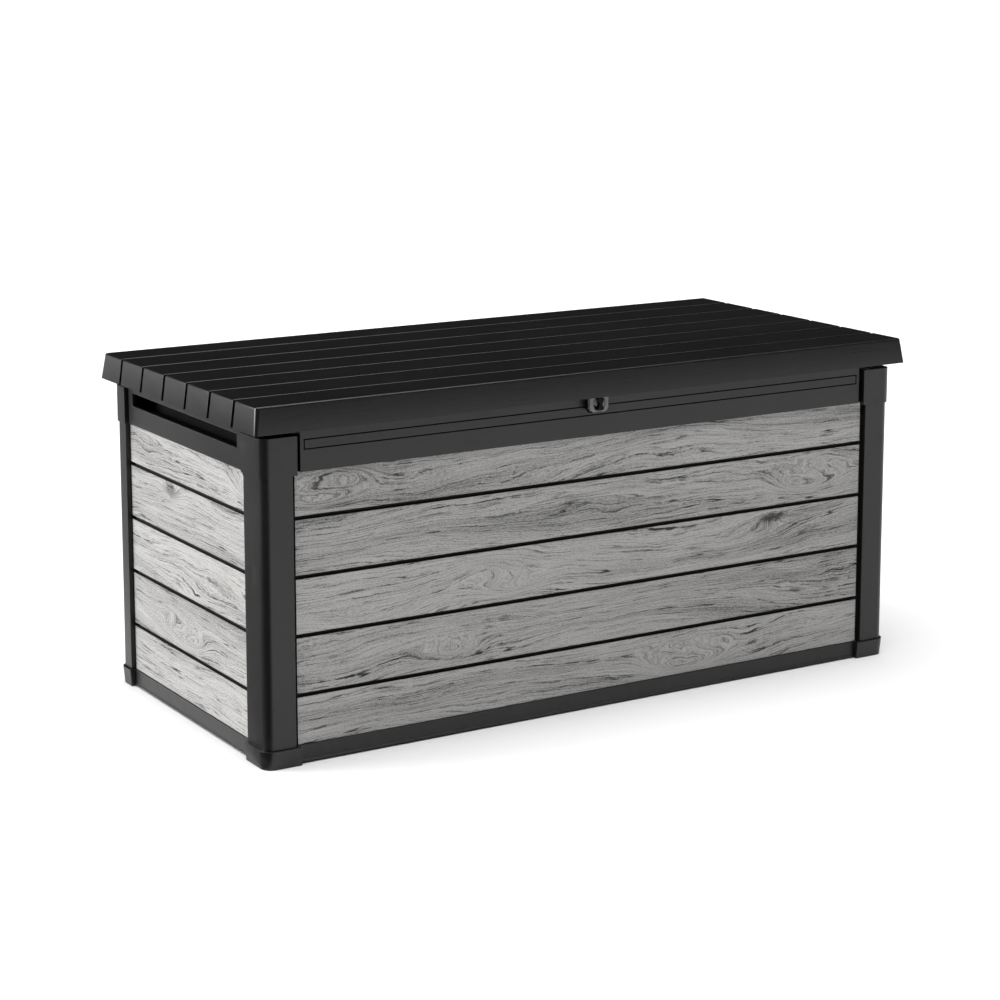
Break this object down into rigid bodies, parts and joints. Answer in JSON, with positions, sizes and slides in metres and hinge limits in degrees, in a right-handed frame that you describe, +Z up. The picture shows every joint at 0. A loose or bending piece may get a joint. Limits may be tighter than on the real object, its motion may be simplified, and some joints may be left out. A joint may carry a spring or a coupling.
{
  "type": "deck storage box",
  "caption": "Long resin deck storage box with grooved board-look lid, wood-print wall panels in a dark post and rail frame, lifting lid on gas struts and a turn lock.",
  "frame": {"origin": "middle of the ground under the box, at the bottom centre of its bounding box", "axes": "+X along the length to the right-hand end, the front faces -Y, +Z up"},
  "size_m": [1.52, 0.718, 0.69],
  "materials": {
    "frame_resin": "fine moulded texture, charcoal black",
    "lid_resin": "fine moulded texture, near black",
    "wood_print_resin": "weathered grey wood print with black grooves, satin",
    "lock_resin": "smooth satin grey",
    "knob_resin": "smooth black",
    "black_metal": "black powder coat",
    "steel": "zinc plated and drawn steel"
  },
  "bodies": {
    "box": {"base_rail_front": "frame_resin", "base_rail_left": "frame_resin", "base_rail_rear": "frame_resin", "base_rail_right": "frame_resin", "corner_post_front_left": "frame_resin", "corner_post_front_right": "frame_resin", "corner_post_rear_left": "frame_resin", "corner_post_rear_right": "frame_resin", "floor_left": "frame_resin", "floor_right": "frame_resin", "foot_front_left": "frame_resin", "foot_front_right": "frame_resin", "foot_rear_left": "frame_resin", "foot_rear_right": "frame_resin", "front_panel": "wood_print_resin", "front_top_rail": "frame_resin", "hinge_body_leaf_left": "black_metal", "hinge_body_leaf_middle": "black_metal", "hinge_body_leaf_right": "black_metal", "hinge_pin_left": "steel", "hinge_pin_middle": "steel", "hinge_pin_right": "steel", "left_panel": "wood_print_resin", "lock_keeper": "steel", "lock_keeper_screw": "steel", "post_collar_front_left": "frame_resin", "post_collar_front_right": "frame_resin", "post_collar_rear_left": "frame_resin", "post_collar_rear_right": "frame_resin", "rear_panel": "wood_print_resin", "rear_top_rail": "frame_resin", "right_panel": "wood_print_resin", "side_rail_left": "frame_resin", "side_rail_right": "frame_resin", "strut_box_bracket_left": "black_metal", "strut_box_bracket_right": "black_metal"},
    "lid": {"lid_shell": "lid_resin", "lid_liner": "lid_resin", "lid_stiffener_front": "steel", "lid_stiffener_rear": "steel", "strut_lid_bracket_left": "black_metal", "strut_lid_bracket_right": "black_metal", "lock_tab": "lock_resin", "lock_tab_screw_left": "steel", "lock_tab_screw_right": "steel", "hinge_lid_leaf_left": "black_metal", "hinge_lid_leaf_middle": "black_metal", "hinge_lid_leaf_right": "black_metal"},
    "lock": {"lock_knob": "knob_resin", "lock_cam": "steel", "lock_cam_screw": "steel"},
    "strut_cylinder_left": {"strut_cylinder_left": "black_metal"},
    "strut_rod_left": {"strut_rod_left": "steel"},
    "strut_cylinder_right": {"strut_cylinder_right": "black_metal"},
    "strut_rod_right": {"strut_rod_right": "steel"}
  },
  "joints": [
    {"name": "lid_hinge", "type": "hinge", "parent": "box", "child": "lid", "pos_m": [0, 0.35, 0.632], "axis": [-1, 0, 0], "range_deg": [0, 80]},
    {"name": "lock_turn", "type": "hinge", "parent": "lid", "child": "lock", "pos_m": [-0.012, -0.348, 0.624], "axis": [0, -1, 0], "range_deg": [0, 90]},
    {"name": "strut_cylinder_left_pivot", "type": "hinge", "parent": "box", "child": "strut_cylinder_left", "pos_m": [-0.672, 0.26179, 0.34526], "axis": [-1, 0, 0], "range_deg": [0, 40]},
    {"name": "strut_rod_left_pivot", "type": "hinge", "parent": "lid", "child": "strut_rod_left", "pos_m": [-0.672, 0.05038, 0.61682], "axis": [-1, 0, 0], "range_deg": [-40, 0]},
    {"name": "strut_cylinder_right_pivot", "type": "hinge", "parent": "box", "child": "strut_cylinder_right", "pos_m": [0.672, 0.26179, 0.34526], "axis": [-1, 0, 0], "range_deg": [0, 40]},
    {"name": "strut_rod_right_pivot", "type": "hinge", "parent": "lid", "child": "strut_rod_right", "pos_m": [0.672, 0.05038, 0.61682], "axis": [-1, 0, 0], "range_deg": [-40, 0]}
  ],
  "couplings": [
    {"joint": "strut_cylinder_left_pivot", "follows": "lid_hinge", "ratio": 0.5},
    {"joint": "strut_rod_left_pivot", "follows": "lid_hinge", "ratio": -0.5},
    {"joint": "strut_cylinder_right_pivot", "follows": "lid_hinge", "ratio": 0.5},
    {"joint": "strut_rod_right_pivot", "follows": "lid_hinge", "ratio": -0.5}
  ]
}
